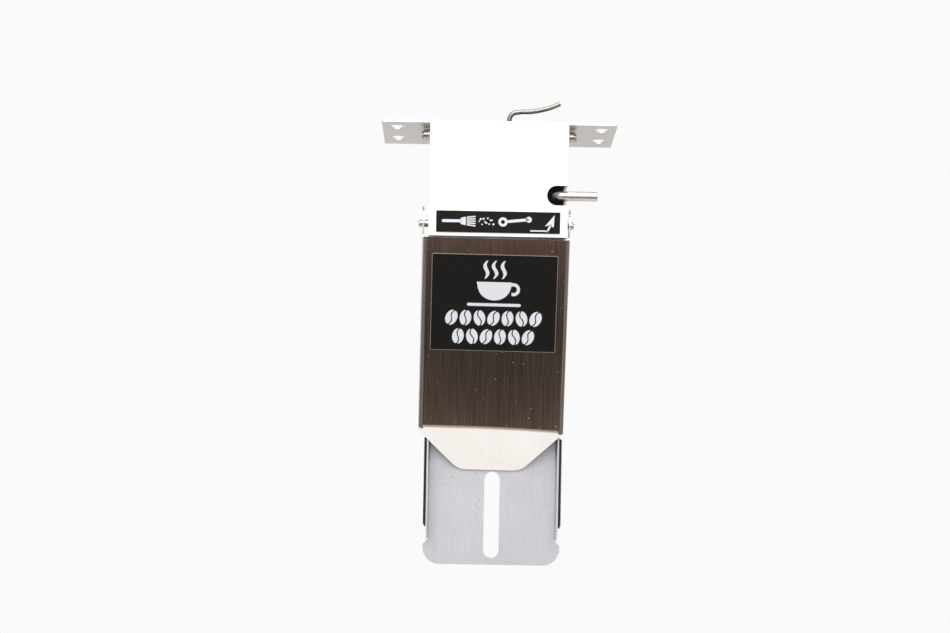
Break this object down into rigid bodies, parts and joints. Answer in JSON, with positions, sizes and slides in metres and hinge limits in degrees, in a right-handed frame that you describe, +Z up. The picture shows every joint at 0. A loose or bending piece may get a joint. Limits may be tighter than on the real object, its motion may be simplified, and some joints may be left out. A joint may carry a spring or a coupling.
{
  "type": "ground coffee discharge chute",
  "caption": "Grinder discharge chute: mounting plate, folded white housing with cleaning lever, swinging brushed cover with bent lip, and long slotted channel with grip strips.",
  "frame": {"origin": "a point on the mounting plate's top face, on the middle line, in the strip of plate behind the inlet", "axes": "+Z up, +X to the right as seen from the front, +Y to the back; the housing's front face is square to Y and the plate slopes down 8.7 degrees to the back"},
  "size_m": [0.1574, 0.0601, 0.3173],
  "materials": {
    "white_paint": "satin white powder coat on a folded sheet",
    "plate_aluminium": "satin mill finish",
    "channel_aluminium": "fine lengthwise grain, satin",
    "brushed_steel": "stainless, brushed lengthwise",
    "polished_steel": "polished",
    "zinc_steel": "bright zinc plate",
    "black_rubber": "matt, toothed",
    "black_label": "printed film",
    "bronze": "sintered bronze",
    "black_steel": "satin black"
  },
  "bodies": {
    "chute_frame": {"mounting_plate": "plate_aluminium", "housing": "white_paint", "channel": "channel_aluminium", "grip_strip_left": "black_rubber", "grip_strip_right": "black_rubber", "lever_label": "black_label", "hinge_screw_left": "polished_steel", "hinge_screw_right": "polished_steel", "hinge_spacer_left": "zinc_steel", "hinge_spacer_right": "zinc_steel", "hinge_nut_left": "zinc_steel", "hinge_nut_right": "zinc_steel", "upper_screw_left": "polished_steel", "upper_screw_right": "polished_steel", "upper_washer_left": "zinc_steel", "upper_washer_right": "zinc_steel", "upper_nut_left": "zinc_steel", "upper_nut_right": "zinc_steel", "tab_rivet_left": "zinc_steel", "tab_rivet_right": "zinc_steel", "lever_bracket": "black_steel", "bracket_rivet_upper": "zinc_steel", "bracket_rivet_lower": "zinc_steel", "front_bushing": "bronze", "rear_bushing": "bronze", "dust_seal": "black_rubber"},
    "lever": {"cleaning_lever": "polished_steel", "agitator_wire": "polished_steel", "lever_hub": "zinc_steel", "hub_pin": "zinc_steel", "wire_clamp_screw": "zinc_steel", "wave_washer": "zinc_steel", "thrust_washer": "zinc_steel", "retaining_ring": "zinc_steel"},
    "cover": {"cover": "brushed_steel", "cover_label": "black_label"}
  },
  "joints": [
    {"name": "lever_turn", "type": "hinge", "parent": "chute_frame", "child": "lever", "pos_m": [0.0384, -0.04445, -0.04154], "axis": [0, 1, 0], "range_deg": [-20, 20]},
    {"name": "cover_swing", "type": "hinge", "parent": "chute_frame", "child": "cover", "pos_m": [-0.0008, -0.02945, -0.06054], "axis": [-1, 0, 0], "range_deg": [0, 45]}
  ]
}
